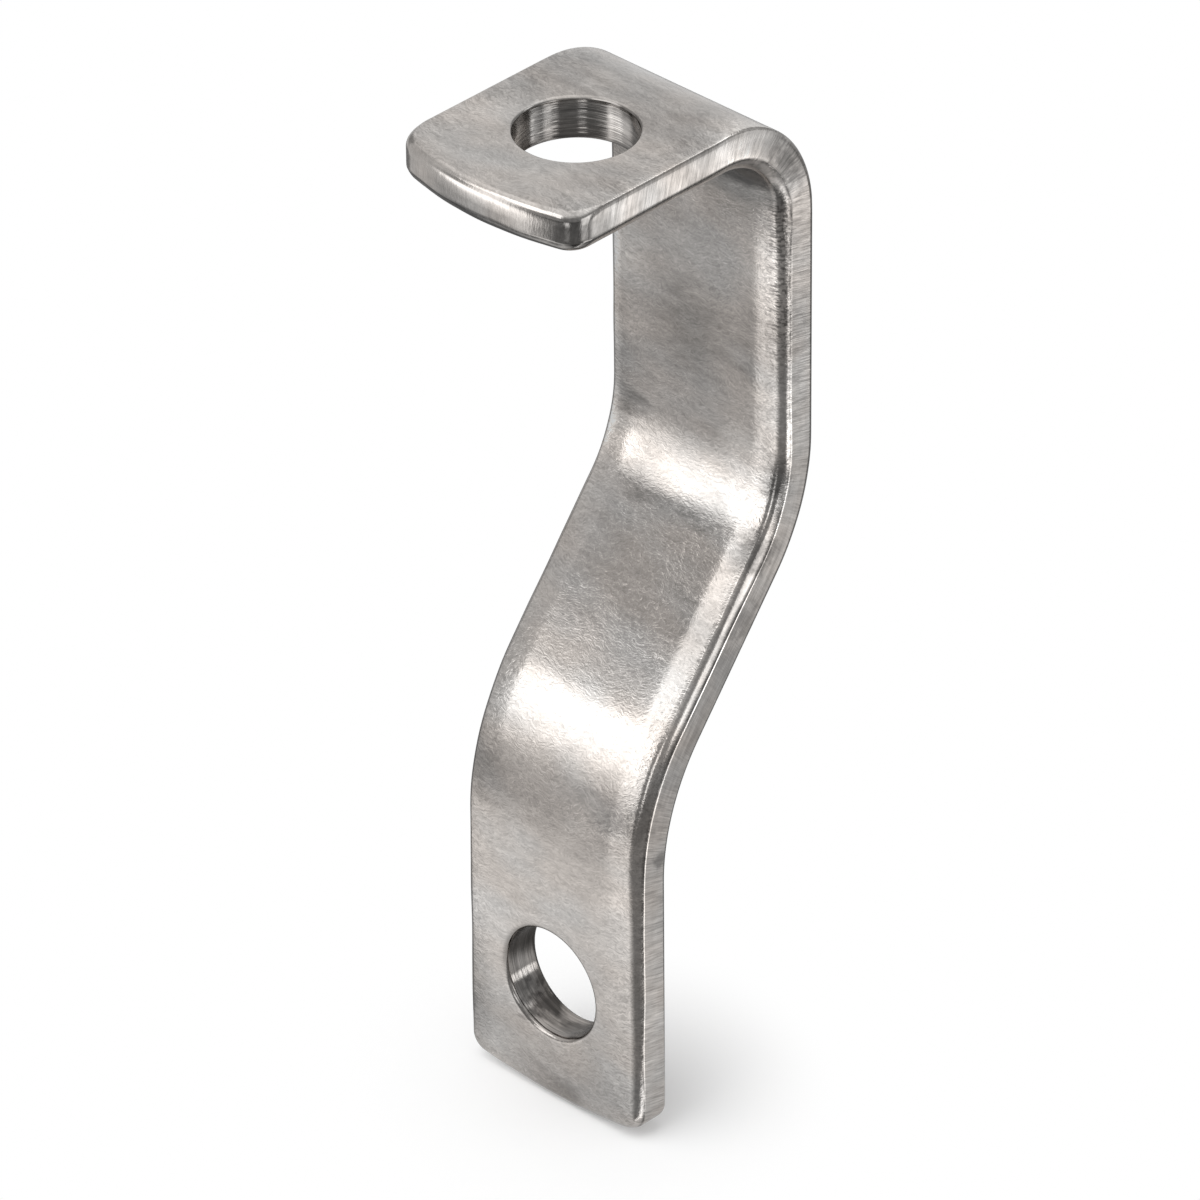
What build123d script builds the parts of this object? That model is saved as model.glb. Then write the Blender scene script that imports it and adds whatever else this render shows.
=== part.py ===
from build123d import *
import math
import os

# Pipe support bracket: one length of flat bar with a horizontal tab at the top, an upright leg below
# it, a joggle that brings the leg forward, and a flat foot. The tab and the foot have one round hole
# each. Millimetres. The origin is the middle of the foot's hole, halfway through the bar. X runs across
# the bar, +Z points up the leg, and the tab points towards -Y.

# The bar
bar_width = 25.0
bar_thickness = 5.0
inner_edge_round = 1.2  # on the face that is inside the top bend
outer_edge_round = 0.7  # on the face that is outside the top bend

# The bends, each radius taken at the inside of the bend
top_bend_radius = 8.0
shoulder_bend_radius = 17.0
foot_bend_radius = 24.5
slant_angle = 38.5  # degrees between the slanted stretch and the upright legs

# Where the stretches lie
tab_height = 102.5  # the tab's top face above the foot's hole
leg_offset = 22.5  # the upper leg behind the foot
foot_straight = 16.5  # flat length above the foot's hole

# The holes
tab_hole_radius = 6.5
tab_hole_setback = 3.0  # the tab's hole behind the foot's hole
foot_hole_radius = 6.5
hole_rim_round = 0.5

# The two ends, each a shallow arc with rounded corners
tab_end_margin = 15.0  # from the tab's hole to the tip of the arc
tab_end_radius = 38.0
tab_corner_radius = 2.5
foot_end_margin = 15.0
foot_end_radius = 78.0
foot_corner_radius = 2.5

half_width = bar_width / 2
half_thickness = bar_thickness / 2
half_turn = math.tan(math.radians(slant_angle / 2))

# Corners of the bar's middle line in the YZ plane, before they are rounded
foot_bend_z = foot_straight + (foot_bend_radius + half_thickness) * half_turn
shoulder_bend_z = foot_bend_z + leg_offset / math.tan(math.radians(slant_angle))
tab_middle_z = tab_height - half_thickness
tab_tip_y = tab_hole_setback - tab_end_margin


def face_line(back):
    """One broad face of the bar seen from the side, a distance behind the middle line."""
    corners = [
        (back, -foot_end_margin),
        (back, foot_bend_z - back * half_turn),
        (leg_offset + back, shoulder_bend_z - back * half_turn),
        (leg_offset + back, tab_middle_z + back),
        (tab_tip_y, tab_middle_z + back),
    ]
    radii = [
        foot_bend_radius + half_thickness - back,
        shoulder_bend_radius + half_thickness + back,
        top_bend_radius + half_thickness + back,
    ]
    return Plane.YZ * FilletPolyline(corners, radius=radii)


def end_outline(arc_radius, corner_radius, length):
    """A bar end seen square to its face, with the tip of the arc at the origin and the bar along +Y."""
    side_y = arc_radius - math.sqrt(arc_radius**2 - half_width**2)
    tip = ThreePointArc((-half_width, side_y), (0, 0), (half_width, side_y))
    rest = Polyline((half_width, side_y), (half_width, length), (-half_width, length), (-half_width, side_y))
    outline = make_face(tip + rest)
    corners = outline.vertices().sort_by(Axis.Y)[:2]
    return fillet(corners, corner_radius)


def edges_on(solid, line):
    """The long and end edges of the solid that lie on one broad face, given by its side view."""
    on_face = []
    for edge in solid.edges().filter_by(Axis.X, reverse=True):
        middle = edge @ 0.5
        if line.distance_to(Vertex(0, middle.Y, middle.Z)) < 0.01:
            on_face.append(edge)
    return on_face


def make_bar():
    """The bent bar with square edges, cut to its outline at both ends."""
    front = face_line(-half_thickness)
    back = face_line(half_thickness)
    foot_side = Line(front @ 0, back @ 0)
    tab_side = Line(front @ 1, back @ 1)
    bar = extrude(make_face(front + back + foot_side + tab_side), bar_width / 2, both=True)

    reach = tab_height + foot_end_margin + leg_offset + tab_end_margin
    tab_plan = Pos(0, tab_tip_y) * end_outline(tab_end_radius, tab_corner_radius, reach)
    foot_view = Pos(0, -foot_end_margin) * end_outline(foot_end_radius, foot_corner_radius, reach)
    bar &= extrude(tab_plan, reach, both=True)
    bar &= extrude(Plane.XZ * foot_view, reach, both=True)
    return bar, front, back


def make_bracket():
    """The finished bracket: rounded edges, then the two holes with rounded rims."""
    bracket, front, back = make_bar()
    bracket = fillet(edges_on(bracket, front), inner_edge_round)
    bracket = fillet(edges_on(bracket, back), outer_edge_round)

    tab_hole = Cylinder(tab_hole_radius, 2 * bar_thickness)
    foot_hole = Cylinder(foot_hole_radius, 2 * bar_thickness, rotation=(90, 0, 0))
    bracket -= Pos(0, tab_hole_setback, tab_middle_z) * tab_hole
    bracket -= foot_hole

    rims = []
    for edge in bracket.edges().filter_by(GeomType.CIRCLE):
        centre = edge.arc_center
        in_tab = abs(edge.radius - tab_hole_radius) < 0.01 and abs(centre.Y - tab_hole_setback) < 0.01
        in_foot = abs(edge.radius - foot_hole_radius) < 0.01 and abs(centre.Z) < 0.01
        if abs(centre.X) < 0.01 and (in_tab or in_foot):
            rims.append(edge)
    return fillet(rims, hole_rim_round)


bracket = make_bracket()
os.makedirs("parts", exist_ok=True)
export_step(bracket, "parts/bracket.step")
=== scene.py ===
import functools
import math

import bpy
import numpy as np
from mathutils import Matrix, Vector


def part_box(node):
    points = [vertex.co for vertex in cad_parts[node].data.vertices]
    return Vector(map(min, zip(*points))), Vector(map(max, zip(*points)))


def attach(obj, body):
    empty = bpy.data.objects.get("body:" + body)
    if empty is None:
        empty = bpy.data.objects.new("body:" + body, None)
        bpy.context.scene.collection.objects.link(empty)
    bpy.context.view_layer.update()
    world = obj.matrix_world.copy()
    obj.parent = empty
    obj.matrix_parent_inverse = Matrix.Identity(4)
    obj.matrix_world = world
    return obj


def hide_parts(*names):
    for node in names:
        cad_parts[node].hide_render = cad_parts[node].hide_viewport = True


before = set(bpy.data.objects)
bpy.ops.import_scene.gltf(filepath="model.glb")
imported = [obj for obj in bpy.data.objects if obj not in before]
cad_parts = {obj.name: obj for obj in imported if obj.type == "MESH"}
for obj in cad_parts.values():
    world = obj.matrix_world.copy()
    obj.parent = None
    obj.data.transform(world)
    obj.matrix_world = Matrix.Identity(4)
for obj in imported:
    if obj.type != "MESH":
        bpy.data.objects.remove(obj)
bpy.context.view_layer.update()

# The bracket is one length of 25 x 5 mm stainless flat bar, cropped, drilled, bent cold and then tumbled
# and brushed. It is worked out below as a flat blank and bent afterwards, as in the workshop. Lengths
# are millimetres until a mesh is made.
MM = 0.001
node_low, node_high = (np.array(corner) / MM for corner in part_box("bracket"))

# The bar
thickness = 5.0
half_thickness = thickness / 2
half_width = (node_high[0] - node_low[0]) / 2

# The bends, each radius at the middle of the bar's thickness
foot_bend_radius = 27.0
shoulder_bend_radius = 19.5
top_bend_radius = 10.5
slant_angle = math.radians(38.5)

# The holes, and how far each is from the tip of its end
hole_radius = 6.5
foot_margin = -node_low[2]
tab_margin = 15.0
foot_straight = 16.5

# The two ends, each a shallow arc with rounded corners
foot_arc_radius = 78.0
tab_arc_radius = 38.0
foot_corner_radius = 2.5
tab_corner_radius = 3.2  # ground rounder than the foot's corners


def smooth(x):
    """0 below 0, 1 above 1 and an even S between: x squared times three less twice x."""
    x = np.clip(x, 0, 1)
    return x * x * (3 - 2 * x)


def middle_runs():
    """Lengths and turns of the bar's middle line, run by run from the foot's tip to the tab's.

    Straight runs and bends take turns. A bend is as long as its radius times its turn, and the slant covers
    what its two bends leave of the step between the foot and the upper leg.
    """
    leg_y = node_high[1] - half_thickness
    tab_z = node_high[2] - half_thickness
    bends = foot_bend_radius + shoulder_bend_radius
    slant_run = (leg_y - bends * (1 - math.cos(slant_angle))) / math.sin(slant_angle)
    shoulder_top = foot_straight + bends * math.sin(slant_angle) + slant_run * math.cos(slant_angle)
    lengths = [
        foot_margin + foot_straight,
        foot_bend_radius * slant_angle,
        slant_run,
        shoulder_bend_radius * slant_angle,
        tab_z - top_bend_radius - shoulder_top,
        top_bend_radius * math.pi / 2,
        leg_y - top_bend_radius - node_low[1],
    ]
    turns = [0, slant_angle, 0, -slant_angle, 0, -math.pi / 2, 0]
    return np.array(lengths), np.array(turns)


run_lengths, run_turns = middle_runs()
bar_length = run_lengths.sum()
run_starts = np.cumsum(run_lengths) - run_lengths
run_headings = np.cumsum(run_turns) - run_turns
slant_start = run_starts[2]
leg_start = run_starts[4]
top_bend_start = run_starts[5]
slant_middle = slant_start + run_lengths[2] / 2
foot_hole_s = foot_margin
tab_hole_s = bar_length - tab_margin


def chord(length, turn, heading):
    """The straight step (y, z) from one end of an arc to the other.

    It is the arc's length times the sinc of half its turn, and it points the way the arc's middle does.
    """
    step = length * np.sinc(turn / (2 * np.pi))
    return step * np.sin(heading + turn / 2), step * np.cos(heading + turn / 2)


run_dy, run_dz = chord(run_lengths, run_turns, run_headings)
run_y = np.cumsum(run_dy) - run_dy
run_z = np.cumsum(run_dz) - run_dz - foot_margin


# How far each side is drawn in where a bend stretches the bar, and on which face, by the number of the run
pinched = {1: (0.08, -1), 3: (0.1, 1), 5: (0.26, 1)}
pinch_reach = 0.6  # where the hump ends, from the bend's middle and as a share of its length
pinch_slope = 0.45  # the share over which it rises
pinch_below_middle = 1.0  # how far past the middle of the thickness it begins


def pinch(s, w):
    """How far a side is drawn in: along each bend a smooth hump, times its growth to the stretched face."""
    drawn = np.zeros(np.shape(s))
    for run, (depth, face) in pinched.items():
        middle = run_starts[run] + run_lengths[run] / 2
        hump = smooth((pinch_reach - np.abs(s - middle) / run_lengths[run]) / pinch_slope)
        growth = smooth((face * w + pinch_below_middle) / (half_thickness + pinch_below_middle))
        drawn = drawn + depth * hump * growth
    return drawn


def bend_bar(blank):
    """Bends the flat blank: a point (s, x, w) goes s along the middle line, then w square to it."""
    s, x, w = np.moveaxis(blank, -1, 0)
    x = x * (1 - pinch(s, w) / half_width)
    run = np.clip(np.searchsorted(run_starts, s, side="right") - 1, 0, len(run_starts) - 1)
    along = s - run_starts[run]
    turn = along * (run_turns / run_lengths)[run]
    dy, dz = chord(along, turn, run_headings[run])
    heading = run_headings[run] + turn
    y = run_y[run] + dy + w * np.cos(heading)
    z = run_z[run] + dz - w * np.sin(heading)
    return np.stack([x, y, z], axis=-1)


# How the edges are worn round. Along the inner face the metal first falls away gently, then turns over
# a tight round and meets the flat side at a faint crease. The outer face only has a small round.
soft_reach = 4.2
soft_drop = 0.27
soft_power = 1.5
inner_inset = 1.2
inner_depth = 1.85
outer_inset = 0.4
outer_depth = 0.65

# The brush was held longer along the right side of the upper leg, and the soft edge falls further there
brushed_drop = 0.42
brushed_start = leg_start - 8
brushed_rise = 10
brushed_fade = 6

# The outer round is larger at the tab's end, from a little before its tip
tab_end_inset = 1.0
tab_end_depth = 1.25
tab_end_start = bar_length - 6
tab_end_rise = 3

# The rims of the holes, on the inner and outer face: the foot's was turned over more than the tab's
foot_rims = {-1: 0.65, 1: 0.5}
tab_rims = {-1: 0.25, 1: 0.4}
rim_soft_reach = 0.9
rim_soft_drop = 0.03

# How far the tumbled faces wander below flat, over which wavelengths, and how far they stay off the edges
hollows = 0.035
hollow_lengths = (13, 19, 8.5)
hollow_phase = 0.4
hollow_margin = 3

wave_turn = math.radians(70)
wave_shift = 2.4


def waves(s, x, wavelengths, phase):
    """A slow swell between -1 and 1: the mean of sine waves, each turned and shifted from the one before."""
    swell = 0
    for i, length in enumerate(wavelengths):
        turn = phase + wave_turn * i
        along = s * math.cos(turn) + x * math.sin(turn)
        swell = swell + np.sin(2 * np.pi * along / length + wave_shift * i + phase)
    return swell / len(wavelengths)


def edge_distance(s, x):
    """How far a point of the blank is inside its outline: the least distance, rounded at the corners."""

    def inside_arc(from_tip, radius):
        return np.where(from_tip < radius, radius - np.hypot(radius - from_tip, x), bar_length)

    side = half_width - np.abs(x)
    from_tab = bar_length - s
    end = np.minimum(inside_arc(s, foot_arc_radius), inside_arc(from_tab, tab_arc_radius))
    near = np.minimum(side, end)
    corner = np.where(from_tab < tab_arc_radius, tab_corner_radius, foot_corner_radius)
    gap = np.hypot(np.maximum(corner - side, 0), np.maximum(corner - end, 0))
    return np.where(near > corner, near, corner - gap)


def rim_width(s, face):
    """How wide the rim is round the hole nearest to s."""
    return np.where(s < bar_length / 2, foot_rims[face], tab_rims[face])


def soft_fall(s, x):
    """How far the soft edge falls: soft_drop, rising smoothly to brushed_drop where the brush was held."""
    brushed = smooth((s - brushed_start) / brushed_rise) * smooth((top_bend_start - s) / brushed_fade)
    return soft_drop + (brushed_drop - soft_drop) * brushed * (x > 0)


def face_height(s, x, face):
    """Height of the inner (-1) or outer (+1) face: flat, less what wear, hollows and the hole rims take."""
    d = edge_distance(s, x)
    from_hole = np.minimum(np.hypot(s - foot_hole_s, x), np.hypot(s - tab_hole_s, x))
    from_rim = from_hole - hole_radius - rim_width(s, face)
    lost = rim_soft_drop * np.clip(1 - from_rim / rim_soft_reach, 0, 1) ** 2
    swell = waves(s, x, hollow_lengths, hollow_phase + face)
    lost = lost + hollows * (1 + swell) / 2 * smooth(d / hollow_margin)
    if face < 0:
        edge_share = np.clip((soft_reach - d) / (soft_reach - inner_inset), 0, 1)
        lost = lost + soft_fall(s, x) * edge_share**soft_power
    return face * (half_thickness - lost)


def face_inset(s, face):
    """How far inside the outline the flat face begins: wider on the outer face at the tab's end."""
    if face < 0:
        return np.full(np.shape(s), inner_inset)
    return outer_inset + (tab_end_inset - outer_inset) * smooth((s - tab_end_start) / tab_end_rise)


# The grid over the blank
columns = 48
corner_cells = 5
side_cells = 6
hole_cells = 34
span_rows = 190
ring_count = 14
ring_crowding = 1.4  # above 1, the rings lie closer together towards the rim
hole_block = (9.0, 8.6)  # half the length of the square patch round the foot's and the tab's hole
edge_crowding = 0.4  # how far the columns are drawn together towards the sides
spread = np.linspace(-1, 1, columns + 1)
spread = (1 - edge_crowding) * spread + edge_crowding * np.sin(spread * np.pi / 2)


def arc_half_angle(arc_radius, corner_radius):
    """Half the angle of an end's arc: its sine is half_width over arc_radius, both less corner_radius."""
    return math.asin((half_width - corner_radius) / (arc_radius - corner_radius))


def end_points(tip, towards, arc_radius, corner_radius, length):
    """Places and normals on an end's outline, at a signed length from its middle.

    The length first runs over the arc and then over the rounded corner. Each place is the middle of its
    circle plus the radius along the normal.
    """
    half_angle = arc_half_angle(arc_radius, corner_radius)
    over = np.maximum(np.abs(length) - arc_radius * half_angle, 0)
    angle = np.sign(length) * (np.minimum(np.abs(length) / arc_radius, half_angle) + over / corner_radius)
    normal = np.stack([-towards * np.cos(angle), np.sin(angle)], axis=-1)
    in_corner = over > 0
    radius = np.where(in_corner, corner_radius, arc_radius)[:, None]
    corner_x = half_width - corner_radius
    corner_s = arc_radius - math.sqrt((arc_radius - corner_radius) ** 2 - corner_x**2)
    centre_s = tip + towards * np.where(in_corner, corner_s, arc_radius)
    centre_x = np.where(in_corner, np.sign(length) * corner_x, 0)
    return np.stack([centre_s, centre_x], axis=-1) + radius * normal, normal, tip + towards * corner_s


def end_lengths(arc_radius, corner_radius):
    """Lengths along an end's outline: half a corner, the columns of the face, half a corner."""
    half_angle = arc_half_angle(arc_radius, corner_radius)
    half_corner = corner_radius * (math.pi / 2 - half_angle) / 2
    reach = arc_radius * half_angle + half_corner
    corner = np.linspace(0, half_corner, corner_cells + 1)[1:]
    return np.concatenate([-(reach + corner[::-1]), reach * spread, reach + corner])


foot_shape = (foot_arc_radius, foot_corner_radius)
tab_shape = (tab_arc_radius, tab_corner_radius)
foot_end, foot_normals, foot_side = end_points(0, 1, *foot_shape, end_lengths(*foot_shape))
tab_end, tab_normals, tab_side = end_points(bar_length, -1, *tab_shape, end_lengths(*tab_shape))

# Rows along the straight sides, from the foot's corner to the tab's
row_marks = [
    foot_side,
    foot_hole_s - hole_block[0],
    foot_hole_s + hole_block[0],
    tab_hole_s - hole_block[1],
    tab_hole_s + hole_block[1],
    tab_side,
]
row_counts = [side_cells, hole_cells, span_rows, hole_cells, side_cells]
rows = [np.linspace(a, b, n + 1) for a, b, n in zip(row_marks, row_marks[1:], row_counts)]
side_s = np.concatenate([rows[0]] + [part[1:] for part in rows[1:]])


def inset_line(places, normals, face):
    """An outline moved inwards to where the flat face begins, as (s, x)."""
    return places - normals * face_inset(places[..., 0], face)[..., None]


def side_line(s, sign, face):
    """The long edge of the flat face, as (s, x)."""
    return np.stack([s, sign * (half_width - face_inset(s, face))], axis=-1)


def lift(plan, face):
    """Gives plan points (s, x) their height on a face."""
    return np.concatenate([plan, face_height(plan[..., 0], plan[..., 1], face)[..., None]], axis=-1)


def straight_patch(s, face):
    """Rows straight across the bar, each spread over the columns of the face."""
    edge = half_width - face_inset(s, face)
    plan = np.stack(np.broadcast_arrays(s[:, None], edge[:, None] * spread), axis=-1)
    return lift(plan, face)


def end_patch(outline, normals, s, face):
    """The face near an end: a Coons patch, its two ruled surfaces less the flat one through its corners.

    s runs from the corner of the bar to the first straight row.
    """
    edge = inset_line(outline, normals, face)
    left = np.concatenate([edge[: corner_cells + 1][::-1], side_line(s[1:], -1, face)])
    right = np.concatenate([edge[-corner_cells - 1 :], side_line(s[1:], 1, face)])
    tip = edge[corner_cells:-corner_cells]
    last = straight_patch(s[-1:], face)[0, :, :2]
    u = np.linspace(0, 1, len(left))[:, None, None]
    v = ((spread + 1) / 2)[None, :, None]
    ruled = (1 - u) * tip[None] + u * last[None] + (1 - v) * left[:, None] + v * right[:, None]
    corners = (1 - u) * ((1 - v) * tip[0] + v * tip[-1]) + u * ((1 - v) * last[0] + v * last[-1])
    return lift(ruled - corners, face)


def square_round(s, edge):
    """The square of rows and columns round a hole, as (s, x), once round from the low left corner."""
    low = np.stack([np.full(columns, s[0]), edge[0] * spread[:-1]], axis=-1)
    right = np.stack([s[:-1], edge[:-1]], axis=-1)
    high = np.stack([np.full(columns, s[-1]), edge[-1] * spread[:0:-1]], axis=-1)
    left = np.stack([s[:0:-1], -edge[:0:-1]], axis=-1)
    return np.concatenate([low, right, high, left, low[:1]])


def hole_directions(centre, s):
    """Unit steps from a hole's middle towards each point of the square round it."""
    away = square_round(s, np.full(len(s), half_width)) - [centre, 0]
    return away / np.linalg.norm(away, axis=1)[:, None]


def hole_patch(centre, s, face):
    """The face round a hole: straight lines from the rim's circle out to the square round it."""
    square = square_round(s, half_width - face_inset(s, face))
    circle = [centre, 0] + hole_directions(centre, s) * (hole_radius + rim_width(centre, face))
    u = np.linspace(0, 1, ring_count + 1)[:, None, None] ** ring_crowding
    return lift((1 - u) * circle[None] + u * square[None], face)


def bezier(a, a_handle, b_handle, b, count):
    """A cubic curve from a to b. Each argument is (..., 2), and the points are (..., count + 1, 2)."""
    t = np.linspace(0, 1, count + 1)[:, None]
    a, a_handle, b_handle, b = (np.asarray(p)[..., None, :] for p in (a, a_handle, b_handle, b))
    return (1 - t) ** 3 * a + 3 * (1 - t) ** 2 * t * a_handle + 3 * (1 - t) * t**2 * b_handle + t**3 * b


def pair(d, w):
    """Distances inside the outline and heights, side by side."""
    return np.stack(np.broadcast_arrays(d, w), axis=-1)


# The worn edge's profile: how many cells each part has, the crease, and how far the curves' handles pull
inner_cells = 12
crease_cells = 5
flat_cells = 8
outer_cells = 9
crease_lean = math.radians(20)
crease_width = 0.3
crease_wander = 0.16  # the crease strays up and down by this much, over these wavelengths
crease_lengths = (23, 9, 14, 5.5)
crease_phase = 1.1
soft_pull = 0.5
turn_pull = 0.75
turn_wander = 0.15
turn_lengths = (11, 17, 6)
turn_phase = 0.2
fold_pulls = (0.33, 0.5)
round_pull = 0.55  # makes a cubic curve a quarter round


def edge_band():
    """The worn edge round the whole outline: the outline swept by its profile, from inner to outer face.

    The profile is a tight curve over the inner edge, the flat side, and a small curve over the outer edge.
    """
    up = np.stack([side_s[1:-1], np.full(len(side_s) - 2, half_width)], axis=-1)
    across = np.broadcast_to([0.0, 1.0], up.shape)
    places = np.concatenate([foot_end, up, tab_end[::-1], up[::-1] * [1, -1], foot_end[:1]])
    normals = np.concatenate([foot_normals, across, tab_normals[::-1], -across, foot_normals[:1]])
    s, x = places[:, 0], places[:, 1]
    inner = lift(inset_line(places, normals, -1), -1)[:, 2]
    outer = lift(inset_line(places, normals, 1), 1)[:, 2]
    outer_in = face_inset(s, 1)
    tab_share = (outer_in - outer_inset) / (tab_end_inset - outer_inset)
    outer_down = outer_depth + (tab_end_depth - outer_depth) * tab_share
    none = np.zeros(len(places))

    lean = crease_width * math.tan(crease_lean)
    crease = inner_depth - half_thickness + crease_wander * waves(s, x, crease_lengths, crease_phase)
    soft_slope = soft_power * soft_fall(s, x) / (soft_reach - inner_inset)
    start = pair(inner_inset + none, inner)
    above = pair(lean / 2, crease - crease_width)
    turn = pair(none, crease)
    pull = turn_pull - turn_wander * waves(s, x, turn_lengths, turn_phase)
    over = bezier(
        start,
        start + pair(-soft_pull, soft_pull * soft_slope),
        above + pair(pull * math.sin(crease_lean), -pull * math.cos(crease_lean)),
        above,
        inner_cells,
    )
    fold = bezier(
        above,
        above + fold_pulls[0] * pair(-lean, crease_width),
        turn - fold_pulls[1] * pair(0, crease_width),
        turn,
        crease_cells,
    )
    low = half_thickness - outer_down
    t = np.linspace(0, 1, flat_cells + 1)[1:]
    flat = pair(none[:, None], crease[:, None] + (low - crease)[:, None] * t)
    finish = bezier(
        pair(none, low),
        pair(none, low + round_pull * outer_down),
        pair((1 - round_pull) * outer_in, outer),
        pair(outer_in, outer),
        outer_cells,
    )
    profile = np.concatenate([over, fold[:, 1:], flat, finish[:, 1:]], axis=1)
    plan = places[:, None] - normals[:, None] * profile[..., :1]
    tangents = np.stack([normals[:, 1], -normals[:, 0], none], axis=-1)
    return np.concatenate([plan, profile[..., 1:]], axis=-1), tangents


wall_cells = 12
rim_cells = 6


def bore(centre, s):
    """A drilled hole: the rim's circle swept by a quarter round, a straight wall and a quarter round."""
    away = hole_directions(centre, s)
    quarter = np.linspace(0, np.pi / 2, rim_cells + 1)
    rims = []
    for face in (-1, 1):
        width = rim_width(centre, face)
        plan = [centre, 0] + away * (hole_radius + width)
        height = face_height(plan[:, 0], plan[:, 1], face)[:, None] - face * width * (1 - np.cos(quarter))
        rims.append(pair(width * (1 - np.sin(quarter)), height))
    t = np.linspace(0, 1, wall_cells + 1)[1:-1, None]
    inner, outer = rims[0], rims[1][:, ::-1]
    wall = (1 - t) * inner[:, -1:] + t * outer[:, :1]
    d, w = np.moveaxis(np.concatenate([inner, wall, outer], axis=1), -1, 0)
    plan = [centre, 0] + away[:, None] * (hole_radius + d)[..., None]
    return np.concatenate([plan, w[..., None]], axis=-1)


def quads(patch, flip):
    """The faces of one grid of points."""
    n, m = patch.shape[:2]
    at = np.arange(n * m).reshape(n, m)
    corners = [at[:-1, :-1], at[1:, :-1], at[1:, 1:], at[:-1, 1:]]
    if flip:
        corners = corners[::-1]
    return np.stack(corners, axis=-1).reshape(-1, 4)


def with_finish(patch, along, *shares):
    """Adds to each point the way the light spreads, and its shares of side, hole and crease."""
    shape = patch.shape[:2]
    along = np.broadcast_to(along, shape + (3,))
    shares = [np.broadcast_to(share, shape)[..., None] for share in shares]
    return np.concatenate([patch, along, *shares], axis=-1)


# Where the painted shade along the crease lies
crease_shade_shift = 0.2  # in rows of the worn edge, from where its inner curve ends
crease_shade_reach = 1.5


def blank_patches():
    """Every grid of the flat blank, with whether its faces are turned over."""
    lengthwise = [1.0, 0.0, 0.0]
    found = []
    for face in (-1, 1):
        turned = face > 0
        found.append((end_patch(foot_end, foot_normals, rows[0], face), not turned))
        found.append((hole_patch(foot_hole_s, rows[1], face), turned))
        found.append((straight_patch(rows[2], face), not turned))
        found.append((hole_patch(tab_hole_s, rows[3], face), turned))
        found.append((end_patch(tab_end, tab_normals, rows[4][::-1], face), turned))
    found = [(with_finish(patch, lengthwise, 0, 0, 0), flip) for patch, flip in found]
    band, tangents = edge_band()
    t = np.arange(band.shape[1])
    side = smooth(t / inner_cells) * smooth(t[::-1] / outer_cells)
    crease = np.maximum(1 - np.abs(t - inner_cells + crease_shade_shift) / crease_shade_reach, 0)
    found.append((with_finish(band, tangents[:, None], side[None], 0, crease[None]), True))
    t = np.arange(2 * rim_cells + wall_cells + 1)
    share = smooth(t / rim_cells) * smooth(t[::-1] / rim_cells)
    for centre, s in ((foot_hole_s, rows[1]), (tab_hole_s, rows[3])):
        found.append((with_finish(bore(centre, s), [0.0, 0.0, 1.0], 0, share[None], 0), False))
    return found


join_digits = 5  # points that agree to this many decimals of a millimetre are one
small_step = 0.01


def make_bracket():
    """Joins the grids at their shared points and bends the blank.

    The way the light spreads is bent too: it is where a small step that way on the blank comes out.
    """
    grids = blank_patches()
    counts = [patch.shape[0] * patch.shape[1] for patch, _ in grids]
    offsets = np.cumsum(counts) - counts
    points = np.concatenate([patch.reshape(-1, patch.shape[-1]) for patch, _ in grids])
    faces = np.concatenate([quads(patch, flip) + start for (patch, flip), start in zip(grids, offsets)])
    rounded = np.round(points[:, :3], join_digits)
    _, first, joined = np.unique(rounded, axis=0, return_index=True, return_inverse=True)
    blank, along, shares = np.split(points[first], [3, 6], axis=1)
    faces = joined.reshape(-1)[faces]
    bent = bend_bar(blank)
    mesh = bpy.data.meshes.new("bracket_bar")
    mesh.from_pydata((bent * MM).tolist(), [], faces.tolist())
    mesh.shade_smooth()
    along = bend_bar(blank + small_step * along) - bent
    along /= np.linalg.norm(along, axis=1)[:, None]
    for name, kind, field, values in (
        ("blank_place", "FLOAT_VECTOR", "vector", blank),
        ("spread_way", "FLOAT_VECTOR", "vector", along),
        ("side_share", "FLOAT", "value", shares[:, 0]),
        ("hole_share", "FLOAT", "value", shares[:, 1]),
        ("crease_share", "FLOAT", "value", shares[:, 2]),
    ):
        attribute = mesh.attributes.new(name, kind, "POINT")
        attribute.data.foreach_set(field, np.ascontiguousarray(values).ravel())
    bracket = bpy.data.objects.new("bracket_bar", mesh)
    bpy.context.collection.objects.link(bracket)
    return bracket


def linear(code):
    """An sRGB hex colour as linear light."""
    c = np.array([int(code[i : i + 2], 16) for i in (0, 2, 4)]) / 255
    return (*np.where(c <= 0.04045, c / 12.92, ((c + 0.055) / 1.055) ** 2.4), 1.0)


def add(tree, kind, inputs=(), **settings):
    """Adds a node with its settings, and gives its inputs links or plain values.

    A list of inputs goes in by number, and a dict by number or name. A node stands for its first output.
    """
    node = tree.nodes.new("ShaderNode" + kind)
    for name, value in settings.items():
        setattr(node, name, value)
    for key, value in inputs.items() if isinstance(inputs, dict) else enumerate(inputs):
        if isinstance(value, bpy.types.Node):
            value = value.outputs[0]
        if isinstance(value, bpy.types.NodeSocket):
            tree.links.new(value, node.inputs[key])
        else:
            node.inputs[key].default_value = value
    return node


def zone(node, *ramps):
    """The share of a place: the product of ramps, each a value, where it is 0 and where it reaches 1."""
    share = 1.0
    for ramp in ramps:
        share = node("Math", [share, node("MapRange", ramp)], operation="MULTIPLY")
    return share


def layered(node, base, *layers):
    """A value with others laid over it in turn, each by its share."""
    for share, value in layers:
        base = node("Mix", {"Factor": share, "A": base, "B": value}, data_type="FLOAT")
    return base


def fresh_material(name):
    """An empty material, and the function that adds nodes to it."""
    material = bpy.data.materials.new(name)
    material.use_nodes = True
    material.node_tree.nodes.clear()
    return material, functools.partial(add, material.node_tree)
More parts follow.
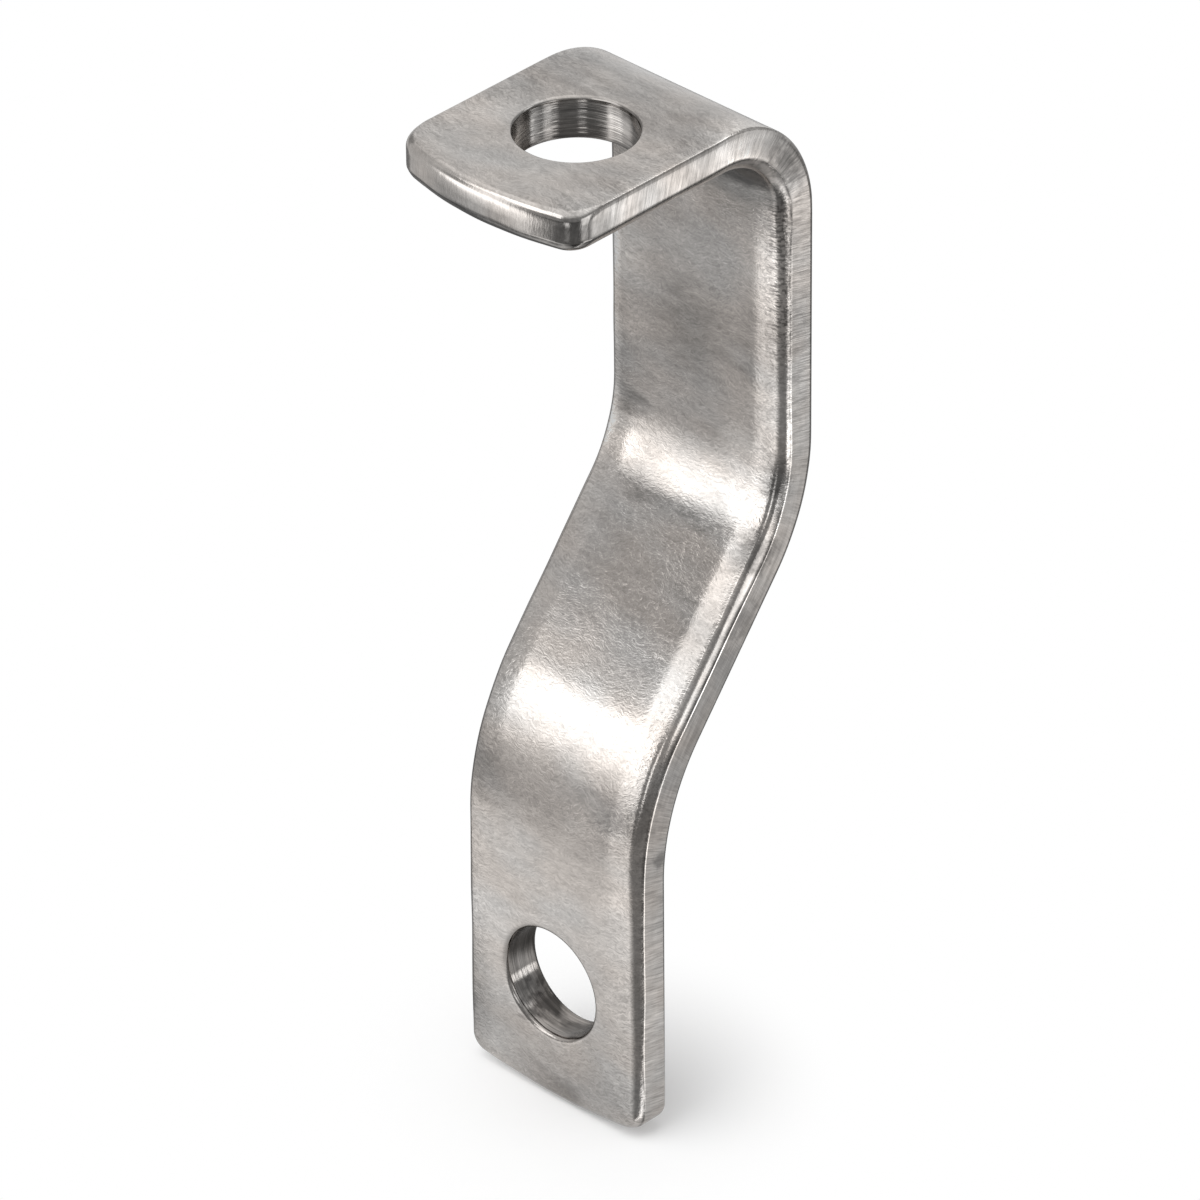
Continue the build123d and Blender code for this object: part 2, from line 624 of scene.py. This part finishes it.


# Spots of painted shade and painted highlight on the finish, each listed: where it is on the blank (s, x,
# w), how far it reaches, and the share of light it leaves. A share above 1 is a painted highlight, below 1
# painted shade.
painted_shade_and_highlight_spots = {
    # The foot's front face
    (2.5, -10.0, -2.5): (6.0, 1.25),
    (0.8, 1.5, -2.5): (5.0, 0.7),
    (26.0, 1.0, -2.5): (11.0, 0.9),
    (30.5, 10.0, -2.5): (3.5, 1.15),
    # The foot's bend and the slant
    (33.0, 7.3, -2.5): (5.0, 0.85),
    (37.7, -10.5, -2.5): (4.5, 0.75),
    (39.5, 9.5, -2.5): (5.0, 0.8),
    (51.0, 10.0, -2.5): (4.5, 1.25),
    (60.5, 10.0, -2.5): (4.5, 0.85),
    # The shoulder
    (70.0, 11.7, -2.2): (3.2, 0.5),
    (72.4, -4.5, -2.5): (4.0, 0.78),
    (72.4, 4.5, -2.5): (4.0, 0.78),
    (75.5, -9.8, -2.5): (3.5, 1.3),
    (79.0, 12.0, -2.0): (2.8, 0.6),
    (79.5, -8.8, -2.5): (3.0, 0.62),
    (80.5, 7.2, -2.5): (4.0, 1.4),
    # The upper leg's front face
    (84.0, -10.0, -2.5): (5.0, 0.85),
    (93.0, 0.0, -2.5): (7.0, 0.72),
    (94.0, 10.2, -2.5): (6.0, 0.85),
    (98.5, -10.0, -2.5): (5.0, 1.2),
    (105.0, 10.2, -2.5): (6.0, 1.15),
    (111.0, -1.5, -2.5): (4.5, 1.3),
    # The sides
    (35.0, 12.5, 1.4): (1.2, 0.6),
    (63.0, 12.5, 0.0): (3.0, 0.75),
    (117.5, 12.5, 0.8): (4.5, 0.6),
    (126.0, 12.5, 1.0): (5.0, 1.6),
    (147.3, 12.5, 0.2): (4.2, 0.78),
    (149.5, 11.3, -0.3): (4.2, 0.65),
    (145.0, -12.0, 0.0): (3.0, 0.6),
    # The tab's top
    (128.5, -9.0, 2.5): (7.0, 0.78),
    (128.5, 0.0, 2.5): (7.0, 0.82),
    (128.5, 9.0, 2.5): (7.0, 0.75),
    (134.0, -11.5, 2.2): (6.0, 0.88),
    (139.6, -8.5, 2.5): (3.2, 1.2),
    (141.6, 9.0, 2.5): (4.0, 0.85),
    # The foot's hole, then the tab's
    (9.5, -3.5, 0.9): (3.4, 0.2),
    (8.7, 1.2, 0.0): (1.8, 0.5),
    (130.2, 0.3, -0.5): (2.8, 2.0),
    (139.0, -6.2, -0.8): (3.0, 2.6),
}
spot_core = 0.35  # the share of its reach over which a smudge is whole
spot_ragged = 2.0  # how far the smears shift its edge, as a share of its reach, and at most
spot_most_ragged = 6.0
groove_depth = 0.005


def steel_material():
    """Stainless steel bar, tumbled and then brushed across by hand, with filed sides and drilled holes.

    To the eye it is a satin grey metal: the tumbling leaves faint clouds and soft bright edges, and the
    brush short crossing strokes that draw each reflection out along the bar. Painted shade and painted
    highlights are laid into its colour in places. Places are in mm on the blank: s along it, x across it
    and w through it.
    """
    material, node = fresh_material("stainless_steel_tumbled_and_brushed")
    place, spread_way = (
        node("Attribute", attribute_name=name).outputs["Vector"] for name in ("blank_place", "spread_way")
    )
    side, hole, crease = (
        node("Attribute", attribute_name=name).outputs["Fac"]
        for name in ("side_share", "hole_share", "crease_share")
    )
    s, x, w = node("SeparateXYZ", [place]).outputs
    from_slant = node("Math", [s, slant_middle], operation="SUBTRACT")
    from_slant = node("Math", [from_slant], operation="ABSOLUTE")

    # The hand wanders over about 7 mm as it brushes, and shivers over 0.9 mm, so the strokes' own ground is
    # bent by noise of those lengths
    ground = place
    for length, shift in ((7, 4.0), (0.9, 0.9)):
        bent = node("TexNoise", {"Vector": place, "Scale": 1 / length, "Detail": 1.0}).outputs["Color"]
        bent = node("VectorMath", [bent, (0.5, 0.5, 0.5)], operation="SUBTRACT")
        bent = node("VectorMath", {0: bent, "Scale": shift}, operation="SCALE")
        ground = node("VectorMath", [ground, bent], operation="ADD")

    def strokes(angle, width, length, lie, base=ground, detail=2.0, axis="Z_AXIS"):
        """Noise drawn out into strokes: its place is turned, then divided by their length and width.

        lie names the directions that they are drawn out in: 0 along the bar, 1 across it, 2 through it.
        """
        turned = node("VectorRotate", {"Vector": base, "Angle": math.radians(angle)}, rotation_type=axis)
        scale = [1 / length if direction in lie else 1 / width for direction in range(3)]
        drawn = node("VectorMath", [turned, scale], operation="MULTIPLY")
        noise = {"Vector": drawn, "Scale": 1.0, "Detail": detail, "Roughness": 0.6}
        return node("TexNoise", noise).outputs["Fac"]

    def centred(amount, *layers):
        """Layers of noise added up, less half for each, times an amount."""
        total = -len(layers) / 2
        for layer in layers:
            total = node("Math", [total, layer], operation="ADD")
        return node("Math", [total, amount], operation="MULTIPLY")

    # Grit 180 leaves grooves about 0.05 mm wide, too fine for the picture, so they are drawn 0.2 mm wide.
    # They bite deeper along the soft edges, and were rubbed down on the slant.
    brushed = [strokes(6, 0.2, 2.4, [1]), strokes(-12, 0.2, 1.9, [1]), strokes(17, 0.22, 1.6, [1])]
    face_grain = centred(2.0, *brushed)
    from_middle = node("Math", [x], operation="ABSOLUTE")
    for ramp in ([from_middle, 7.5, 11.0, 1.0, 1.6], [from_slant, 6, 18, 0.8, 1.1]):
        face_grain = node("Math", [face_grain, node("MapRange", ramp)], operation="MULTIPLY")
    # The sides were dressed with a file before bending. Its marks wore away along the slant, and are weak
    # on the tab's end.
    filed = [
        strokes(14, 0.16, 3.2, [2], place, axis="Y_AXIS"),
        strokes(9, 0.5, 4.0, [2], place, axis="Y_AXIS"),
    ]
    side_grain = centred(4.2, *filed)
    for ramp in ([from_slant, 8, 24, 0.3, 1.0], [s, bar_length - 7, bar_length - 4, 1.0, 0.45]):
        side_grain = node("Math", [side_grain, node("MapRange", ramp)], operation="MULTIPLY")
    # The drill left rings round the holes
    hole_grain = centred(6.0, strokes(0, 0.2, 6.0, [0, 1], place), strokes(0, 0.6, 7.0, [0, 1], place))
    grain = layered(node, face_grain, (side, side_grain), (hole, hole_grain))

    # Clouds left by the tumbling and by handling, drawn out a little the way the brush went
    cloud = strokes(-4, 4.5, 9.0, [1], place, detail=4.0)
    smear = strokes(5, 1.3, 4.5, [1], place, detail=3.0)
    warm = strokes(-6, 6.0, 11.0, [1], place, detail=1.0)
    warmth = {"Factor": node("MapRange", [warm, 0.35, 0.65]), "A": linear("c9c6c3"), "B": linear("cdc6c0")}
    colour = node("Mix", warmth, data_type="RGBA").outputs["Result"]
    cloudy = centred(node("MapRange", [s, slant_start, leg_start, 0.3, 0.4]), cloud, smear)
    shade = node("Math", [cloudy, 1.0], operation="ADD")
    shade = node("Math", [shade, node("MapRange", [grain, -1.0, 1.0, 0.74, 1.26])], operation="MULTIPLY")
    # Along the slant the sides show streaks from handling instead of file marks
    streaks = node("MapRange", [strokes(0, 0.7, 7.0, [0], place, detail=3.0), 0.35, 0.65, -0.25, 0.25])
    streaks = node("Math", [streaks, side], operation="MULTIPLY")
    streaks = node("Math", [streaks, node("MapRange", [from_slant, 8, 22, 1.0, 0.15])], operation="MULTIPLY")
    shade = node("Math", [shade, node("Math", [streaks, 1.0], operation="ADD")], operation="MULTIPLY")

    off_end_middle = node("Math", [node("Math", [x, 1.5], operation="SUBTRACT")], operation="ABSOLUTE")
    patchy = node("MapRange", [strokes(0, 0.5, 1.6, [0], place), 0.35, 0.6, 0.35, 1.0])
    short = strokes(2, 0.28, 3.5, [1], place, detail=1.0)
    run_out = zone(node, (short, 0.48, 0.6), (s, 88, 98), (s, 116, 112), (x, 9.8, 11.2), (w, -0.8, -1.4))
    # Where the painted highlight beside the crease lies
    by_crease = [node("MapRange", [w, -1.45, -1.1]), node("MapRange", [s, 82, 90, 0.0, 0.6])]
    by_crease = node("Math", by_crease, operation="MAXIMUM")
    painted_round_highlight = zone(node, (by_crease, 0, 1), (w, -0.7, -0.85), (x, 10.8, 11.6), (s, 46, 52), (s, 113, 108))
    # Painted shade, painted highlights and the brush's dark strokes: each place, and the share of light it
    # leaves there
    for share, light in (
        # Painted shade dulls the upper leg's sides
        (zone(node, (s, 90, 98), (s, top_bend_start + 3, top_bend_start - 2), (side, 0, 1)), 0.76),
        # Painted shade inside the top bend, under the tab, which stays duller
        (zone(node, (s, top_bend_start - 7, top_bend_start + 4), (w, -0.5, -2.2)), 0.5),
        # Painted shade on the middle of the flat of the tab's end, duller than the edge above it
        (zone(node, (s, bar_length - 3, bar_length - 1), (w, 1.2, 0.2), (off_end_middle, 9.5, 3.5)), 0.52),
        # Painted shade in the holes: their walls are a darker grey
        (hole, 0.6),
        # Painted shade along the crease beside the worn edge, here more and there less
        (node("Math", [crease, patchy], operation="MULTIPLY"), 0.05),
        # High on the upper leg the brush ran out over the soft edge in short dark strokes
        (run_out, 0.45),
        # A painted highlight on the round beside the crease, from the slant to the top bend, widest up the
        # leg
        (painted_round_highlight, 1.65),
        # Another painted highlight on the far soft edge of the upper leg
        (zone(node, (s, 68, 76), (s, 112, 104), (x, -10.2, -11.4), (w, -1.0, -1.6)), 1.6),
    ):
        shade = node("Math", [shade, node("MapRange", [share, 0, 1, 1.0, light])], operation="MULTIPLY")
    # Lays the spots of painted shade and painted highlight into the colour, with ragged edges
    ragged = node("Math", [smear, 0.5], operation="SUBTRACT")
    for spot, (reach, light) in painted_shade_and_highlight_spots.items():
        away = node("VectorMath", [place, spot], operation="DISTANCE").outputs["Value"]
        shift = min(spot_ragged * reach, spot_most_ragged)
        away = node("Math", [ragged, shift, away], operation="MULTIPLY_ADD")
        left = node("MapRange", [away, spot_core * reach, reach, light, 1.0])
        shade = node("Math", [shade, left], operation="MULTIPLY")

    surface = {
        "Base Color": node("VectorMath", {0: colour, "Scale": shade}, operation="SCALE"),
        "Metallic": 1.0,
        # The clouds are a little rougher or smoother, and everywhere the light spreads along the bar
        "Roughness": node("MapRange", [cloud, 0.3, 0.7, 0.155, 0.11]),
        "Anisotropic": 0.4,
        "Tangent": spread_way,
        "Normal": node("Bump", {"Height": grain, "Strength": 1.0, "Distance": groove_depth * MM}),
    }
    node("OutputMaterial", {"Surface": node("BsdfPrincipled", surface)})
    return material


bracket = make_bracket()
bracket.data.materials.append(steel_material())
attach(bracket, "root")
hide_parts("bracket")


def stage_sheet(name, points, material):
    """A sheet that only the picture needs, from a grid of points in mm."""
    mesh = bpy.data.meshes.new(name)
    mesh.from_pydata((points.reshape(-1, 3) * MM).tolist(), [], quads(points, False).tolist())
    mesh.materials.append(material)
    sheet = bpy.data.objects.new(name, mesh)
    bpy.context.collection.objects.link(sheet)
    return sheet


# Painted reflection: how brightly the paper glows to the metal, where 1 is the picture's white
paper_near = 0.9  # in front of the bracket
paper_far = 0.27
paper_far_lift = 0.14  # added to it furthest out
paper_back = 0.62  # behind the bracket
paper_back_dip = 0.62  # the share that a greyer ring leaves there
paper_back_band = 1.45  # a bright band, and what lies beyond it
paper_back_beyond = 0.6
paper_painted_foot_shade = 0.32  # the share that is left right at the foot
paper_strip = (1.0, 1.5)  # a bright strip at the left, near and far
paper_right = 2.1  # a bright patch at the right
paper_dark = 0.08

paper_shadow = 0.08  # how white the shadow's middle still is to the camera
paper_shine = 0.85  # the share of the paper that the metal sees as bright as above


def paper_material():
    """White paper, matt as it comes from the roll: pure white to the camera, less the bracket's shadow.

    The metal sees a painted reflection in it that no lamp gives: painted shadow right at the foot, white
    round it, greyer further away, and dark on the camera's side. Places are in mm from the middle of the
    foot's hole. Bearings are in degrees round a point to the right of it: 0 is straight in front, 90 to the
    right and -90 to the left.
    """
    material, node = fresh_material("white_paper_painted_reflection")
    rays = node("LightPath").outputs
    place = node("TexCoord").outputs["Object"]
    place = node("VectorMath", {0: place, "Scale": 1 / MM}, operation="SCALE")
    x, y, _ = node("SeparateXYZ", [place]).outputs
    away = node("VectorMath", [place], operation="LENGTH").outputs["Value"]
    right_of = node("Math", [x, 13], operation="SUBTRACT")
    front_of = node("Math", [-3, y], operation="SUBTRACT")
    bearing = node("Math", [right_of, front_of], operation="ARCTAN2")
    bearing = node("Math", [bearing], operation="DEGREES")

    # Painted shade beyond the bar's left side and straight behind it, which gives its far edges their dark
    # line
    left_line = node("Math", [x, -0.2, y], operation="MULTIPLY_ADD")
    back_line = node("Math", [x, -1.6, y], operation="MULTIPLY_ADD")
    left_dark = zone(node, (left_line, -10, 0), (x, -10, -20))
    back_dark = zone(node, (back_line, -8, 4), (y, 0, 8))
    line_dark = node("Math", [left_dark, back_dark], operation="MAXIMUM")
    line_dark = zone(node, (line_dark, 0, 1), (away, 400, 250))

    # Painted reflection behind the bracket: grey with a greyer ring, then a bright band
    behind = node("MapRange", [away, 180, 194, paper_back, paper_back_band])
    behind = layered(node, behind, (node("MapRange", [away, 215, 260]), paper_back_beyond))
    ring = node("MapRange", [zone(node, (away, 45, 90), (away, 122, 100)), 0, 1, 1.0, paper_back_dip])
    behind = node("Math", [behind, ring], operation="MULTIPLY")

    # Painted reflection in front of it, falling off with distance
    front = node("MapRange", [away, 45, 125, paper_near, paper_far])
    lift_far = node("MapRange", [away, 115, 145, 0.0, paper_far_lift])
    front = node("Math", [front, lift_far], operation="ADD")

    # A painted bright strip in front, whose left edge turns a little with distance
    strip_edge = node("Math", [bearing, node("MapRange", [away, 60, 110, 0.0, -1.5])], operation="ADD")
    strip = zone(node, (strip_edge, -42, -35), (away, 30, 70), (away, 175, 152))
    strip_light = node("MapRange", [away, 105, 125, *paper_strip])

    # Painted shade on the camera's side. Where it begins, how softly, and where it ends turn with distance.
    distant = node("MapRange", [away, 165, 180])
    start = node("MapRange", [away, 40, 100, -8, 24])
    fade = node("MapRange", [away, 100, 160, 54, 12])
    dark_start = node("Math", [bearing, start], operation="ADD")
    dark_start = node("Math", [dark_start, fade], operation="DIVIDE", use_clamp=True)
    dark_end = node("Math", [distant, -18, bearing], operation="MULTIPLY_ADD")
    dark = zone(node, (dark_start, 0, 1), (dark_end, 112, 94))

    # A painted bright patch at the right, also turning with distance
    patch = node("Math", [bearing, node("MapRange", [away, 80, 120, 0.0, 7])], operation="ADD")
    patch = zone(node, (patch, 98, 106), (patch, 124, 116), (distant, 1, 0))

    back = node("MapRange", [y, -20, 30])
    light = layered(node, front, (strip, strip_light), (back, behind), (line_dark, paper_dark))
    # Painted shadow right at the foot, in what the metal sees
    at_foot = node("MapRange", [away, 0, 35, paper_painted_foot_shade, 1.0])
    light = node("Math", [light, at_foot], operation="MULTIPLY")
    light = layered(node, light, (dark, paper_dark), (patch, paper_right))
    # The paper glows with this painted light to the metal, and white to the camera
    strength = layered(node, 1.0, (rays["Is Glossy Ray"], light))
    glow = node("Emission", {"Color": (1, 1, 1, 1), "Strength": strength})

    seen = node("Math", [rays["Is Camera Ray"], rays["Is Glossy Ray"]], operation="MAXIMUM")
    seen = node("Math", [seen, rays["Is Transmission Ray"]], operation="MAXIMUM")
    lit = node("MapRange", [away, 12, 33, paper_shadow, 1.0], interpolation_type="SMOOTHSTEP")
    share = layered(node, lit, (rays["Is Glossy Ray"], paper_shine))
    share = node("Math", [seen, share], operation="MULTIPLY")
    paper = node("BsdfDiffuse", {"Color": linear("f8f8f8")})
    node("OutputMaterial", {"Surface": node("MixShader", [share, paper, glow])})
    return material


floor_sides = (-3000, 3000)
floor_x, floor_y = np.meshgrid(floor_sides, floor_sides, indexing="ij")
floor_z = np.full((2, 2), -foot_margin)
stage_sheet("floor", np.stack([floor_x, floor_y, floor_z], axis=-1), paper_material())


def card_material(strength):
    """A card that glows as a white card under a lamp would, a painted reflection, fading out at its edges,
    so that its reflection has soft ends.
    """
    material, node = fresh_material("glowing_card_painted_reflection")
    share = node("Attribute", attribute_name="card_share").outputs["Fac"]
    glow = node("Emission", {"Color": (1, 1, 1, 1), "Strength": strength})
    node("OutputMaterial", {"Surface": node("MixShader", [share, node("BsdfTransparent"), glow])})
    return material


card_columns = 41
card_rows = 61
card_circle_y = 10  # the cards stand round a point this far behind the foot's hole


def card(name, bearing, distance, foot, head, width, strength, soft):
    """An upright glowing card that only the metal sees, a painted reflection, in mm and degrees, with 0 in
    front and 90 at the right.

    foot and head are the heights between which it fades in and out, and soft is how far it fades in from
    its sides. Its share is the product of those fades.
    """
    a = math.radians(bearing)
    across = np.linspace(-width / 2, width / 2, card_columns)
    up = np.linspace(foot[0], head[1], card_rows)
    u, v = np.meshgrid(across, up, indexing="ij")
    x = distance * math.sin(a) + u * math.cos(a)
    y = card_circle_y - distance * math.cos(a) + u * math.sin(a)
    share = smooth((width / 2 - np.abs(u)) / soft) * smooth((v - foot[0]) / (foot[1] - foot[0]))
    share = share * smooth((head[1] - v) / (head[1] - head[0]))
    sheet = stage_sheet(name, np.stack([x, y, v], axis=-1), card_material(strength))
    sheet.data.attributes.new("card_share", "FLOAT", "POINT").data.foreach_set("value", share.ravel())
    sheet.visible_camera = sheet.visible_diffuse = sheet.visible_shadow = sheet.visible_transmission = False


# Painted reflections, each a glowing card: bearing, distance, heights of the foot and of the head, width,
# strength and softness
cards = {
    "front_card": (-31, 130, (3, 76), (82, 110), 81, 2.2, 18),
    "low_card": (-20, 140, (0, 40), (70, 100), 36, 1.5, 9),
    "tall_card": (-26, 142, (50, 85), (150, 200), 50, 1.45, 12),
    "left_card": (-60, 145, (0, 30), (150, 220), 90, 0.6, 14),
    "upper_card": (-14, 150, (150, 168), (250, 290), 190, 2.3, 40),
    "back_card": (-140, 200, (0, 60), (250, 320), 260, 0.72, 60),
    "right_card": (88, 130, (15, 45), (120, 150), 80, 1.7, 18),
    "rim_card": (31, 150, (20, 45), (75, 100), 50, 1.8, 15),
    "bore_card": (118, 100, (-14.5, -9), (6, 14), 32, 2.6, 5),
    "edge_card": (138, 200, (170, 200), (260, 290), 80, 1.9, 25),
}
for card_name, measures in cards.items():
    card(card_name, *measures)

lamp_aim = Vector((0, 5, 40))


def softbox(name, azimuth, elevation, distance, width, height, radiance):
    """An area light that faces the bracket, in mm and degrees: azimuth 0 is in front and 90 at the right.

    Its power is its radiance times pi times its area.
    """
    a, e = math.radians(azimuth), math.radians(elevation)
    back = Vector((math.sin(a) * math.cos(e), -math.cos(a) * math.cos(e), math.sin(e)))
    data = bpy.data.lights.new(name, "AREA")
    data.shape = "RECTANGLE"
    data.size, data.size_y = width * MM, height * MM
    data.energy = radiance * math.pi * data.size * data.size_y
    light = bpy.data.objects.new(name, data)
    bpy.context.collection.objects.link(light)
    light.location = (lamp_aim + back * distance) * MM
    light.rotation_mode = "QUATERNION"
    light.rotation_quaternion = back.to_track_quat("Z", "Y")
    light.visible_camera = light.visible_glossy = False


softbox("key", -24, 50, 560, 520, 520, 3.3)
softbox("overhead", 0, 89, 600, 400, 400, 1.8)

# How bright the metal sees the room, low and high, and how much of it falls on matt surfaces
room_low = 0.32
room_high = 1.1
room_matt = 0.36


def studio_world():
    """A white room to the camera, and to the metal a grey one that brightens upwards."""
    world = bpy.data.worlds.new("studio")
    world.use_nodes = True
    world.node_tree.nodes.clear()
    node = functools.partial(add, world.node_tree)
    rays = node("LightPath").outputs
    height = node("SeparateXYZ", [node("TexCoord").outputs["Generated"]]).outputs["Z"]
    rise = node("MapRange", [height, 0.45, 0.85, room_low, room_high])
    seen = node("Math", [rays["Is Camera Ray"], rays["Is Transmission Ray"]], operation="MAXIMUM")
    strength = layered(node, rise, (seen, 1.0), (rays["Is Diffuse Ray"], room_matt))
    room = node("Background", {"Color": (1, 1, 1, 1), "Strength": strength})
    node("OutputWorld", {"Surface": room})
    bpy.context.scene.world = world


studio_world()

# The camera stands where the photograph was taken from
camera_azimuth = math.radians(43.973)
camera_elevation = math.radians(32.714)
camera_roll = math.radians(-0.498)
camera_distance = 1074.86
camera_lens = 307.39
camera_sensor = 36
camera_aim = np.array([0, 7.5, 33.333])
camera_offset = (-1.125, 8.787)
camera_sight = 100  # metres, further than anything here


def make_camera():
    """A camera on a sphere round its aim, slid a little across its own view, and rolled."""
    a, e = camera_azimuth, camera_elevation
    back = np.array([math.sin(a) * math.cos(e), -math.cos(a) * math.cos(e), math.sin(e)])
    right = np.array([math.cos(a), math.sin(a), 0])
    up = np.cross(back, right)
    place = camera_aim + camera_distance * back + camera_offset[0] * right + camera_offset[1] * up
    turned_right = math.cos(camera_roll) * right + math.sin(camera_roll) * up
    turned_up = np.cross(back, turned_right)
    camera = bpy.data.objects.new("camera", bpy.data.cameras.new("camera"))
    bpy.context.collection.objects.link(camera)
    camera.data.lens = camera_lens
    camera.data.sensor_width = camera_sensor
    camera.data.sensor_fit = "HORIZONTAL"
    camera.data.clip_end = camera_sight
    stand = np.eye(4)
    stand[:3] = np.stack([turned_right, turned_up, back, place * MM], axis=1)
    camera.matrix_world = Matrix(stand.tolist())
    bpy.context.scene.camera = camera


make_camera()
bpy.context.scene.view_settings.view_transform = "Standard"
